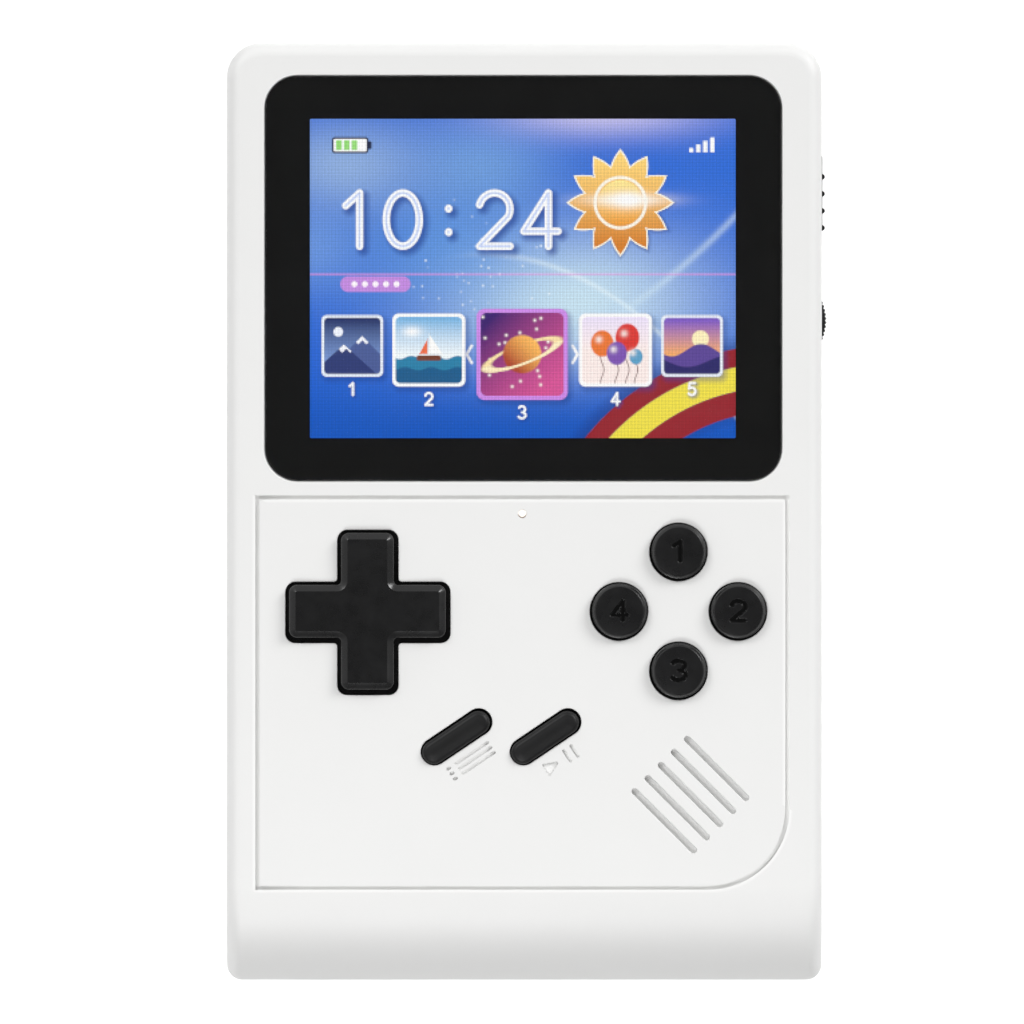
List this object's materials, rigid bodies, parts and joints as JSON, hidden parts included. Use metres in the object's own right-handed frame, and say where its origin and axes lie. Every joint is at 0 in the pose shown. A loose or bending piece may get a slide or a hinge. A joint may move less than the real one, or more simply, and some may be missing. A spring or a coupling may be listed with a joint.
{
  "type": "handheld game console",
  "caption": "Portrait handheld game console: white clamshell housing, lit screen under a black lens, cross pad, round and pill buttons, volume wheel, power slider.",
  "frame": {"origin": "middle of the flat rear face, where the console rests on its back", "axes": "+X to the console's right seen from the front, +Y to its top edge, +Z out of the screen"},
  "size_m": [0.0855, 0.1336, 0.0228],
  "materials": {
    "white_shell": "fine satin texture",
    "clear_lens": "polished, black printed border",
    "black_foam": "matt foam",
    "display": "lit",
    "amber_film": "satin film",
    "ivory_plastic": "moulded",
    "black_keys": "satin",
    "black_side_controls": "moulded",
    "steel": "plated",
    "grey_rubber": "silicone",
    "board_parts": "moulded",
    "speaker_paper": "pressed paper",
    "magnet": "plated",
    "speaker_cloth": "woven",
    "gold_contacts": "gold plated",
    "green_board": "solder mask",
    "led": "clear, lit",
    "light_pipe": "clear, lit",
    "black_socket": "moulded",
    "battery_wrap": "printed film, no label",
    "dark_screws": "black zinc"
  },
  "bodies": {
    "root": {"front_shell": "white_shell", "rear_shell": "white_shell", "screen_lens": "clear_lens", "lens_adhesive": "black_foam", "lcd_module": "display", "lcd_gasket": "black_foam", "lcd_backing_pad": "black_foam", "lcd_ribbon": "amber_film", "lcd_connector": "ivory_plastic", "dpad_pivot_seat": "ivory_plastic", "dpad_membrane": "grey_rubber", "face_button_membrane": "grey_rubber", "pill_membrane": "grey_rubber", "volume_pot_body": "board_parts", "power_switch_body": "steel", "speaker_basket": "steel", "speaker_cone": "speaker_paper", "speaker_magnet": "magnet", "speaker_gasket": "black_foam", "speaker_cloth": "speaker_cloth", "speaker_contacts": "gold_contacts", "main_board": "green_board", "processor": "board_parts", "memory_chip": "board_parts", "crystal": "steel", "board_small_parts": "board_parts", "power_led": "led", "light_pipe": "light_pipe", "headphone_jack": "black_socket", "charging_port": "steel", "battery": "battery_wrap", "battery_contact_block": "board_parts", "battery_contacts": "gold_contacts", "case_screws": "dark_screws", "board_screws": "dark_screws"},
    "gimbal": {"dpad_pivot_ball": "steel"},
    "dpad": {"dpad": "black_keys"},
    "wheel": {"volume_wheel": "black_side_controls", "volume_shaft": "steel", "wheel_screw": "steel"},
    "slider": {"power_knob": "black_side_controls", "switch_lever": "black_side_controls"},
    "door": {"battery_door": "white_shell"},
    "button_top": {"button_top": "black_keys"},
    "button_left": {"button_left": "black_keys"},
    "button_right": {"button_right": "black_keys"},
    "button_bottom": {"button_bottom": "black_keys"},
    "pill_button_left": {"pill_button_left": "black_keys"},
    "pill_button_right": {"pill_button_right": "black_keys"}
  },
  "joints": [
    {"name": "dpad_up_down", "type": "hinge", "parent": "root", "child": "gimbal", "pos_m": [-0.02234, -0.0142, 0.016], "axis": [1, 0, 0], "range_deg": [-3.5, 3.5], "stiffness_Nm_per_rad": 0.12, "deforming": ["dpad_membrane"]},
    {"name": "dpad_left_right", "type": "hinge", "parent": "gimbal", "child": "dpad", "pos_m": [-0.02234, -0.0142, 0.016], "axis": [0, 1, 0], "range_deg": [-3.5, 3.5], "stiffness_Nm_per_rad": 0.12, "deforming": ["dpad_membrane"]},
    {"name": "button_top_press", "type": "slide", "parent": "root", "child": "button_top", "axis": [0, 0, -1], "range_m": [0, 0.001], "stiffness_N_per_m": 1000, "springref_m": -0.0004, "deforming": ["face_button_membrane"]},
    {"name": "button_left_press", "type": "slide", "parent": "root", "child": "button_left", "axis": [0, 0, -1], "range_m": [0, 0.001], "stiffness_N_per_m": 1000, "springref_m": -0.0004, "deforming": ["face_button_membrane"]},
    {"name": "button_right_press", "type": "slide", "parent": "root", "child": "button_right", "axis": [0, 0, -1], "range_m": [0, 0.001], "stiffness_N_per_m": 1000, "springref_m": -0.0004, "deforming": ["face_button_membrane"]},
    {"name": "button_bottom_press", "type": "slide", "parent": "root", "child": "button_bottom", "axis": [0, 0, -1], "range_m": [0, 0.001], "stiffness_N_per_m": 1000, "springref_m": -0.0004, "deforming": ["face_button_membrane"]},
    {"name": "pill_button_left_press", "type": "slide", "parent": "root", "child": "pill_button_left", "axis": [0, 0, -1], "range_m": [0, 0.0008], "stiffness_N_per_m": 1000, "springref_m": -0.0004, "deforming": ["pill_membrane"]},
    {"name": "pill_button_right_press", "type": "slide", "parent": "root", "child": "pill_button_right", "axis": [0, 0, -1], "range_m": [0, 0.0008], "stiffness_N_per_m": 1000, "springref_m": -0.0004, "deforming": ["pill_membrane"]},
    {"name": "volume_turn", "type": "hinge", "parent": "root", "child": "wheel", "pos_m": [0.03614, 0.02725, 0.0105], "axis": [0, 0, 1], "range_deg": [-140, 140]},
    {"name": "power_slide", "type": "slide", "parent": "root", "child": "slider", "axis": [0, -1, 0], "range_m": [0, 0.002]},
    {"name": "battery_door_open", "type": "hinge", "parent": "root", "child": "door", "pos_m": [0, -0.051, 0.00005], "axis": [1, 0, 0], "range_deg": [-70, 0]}
  ]
}
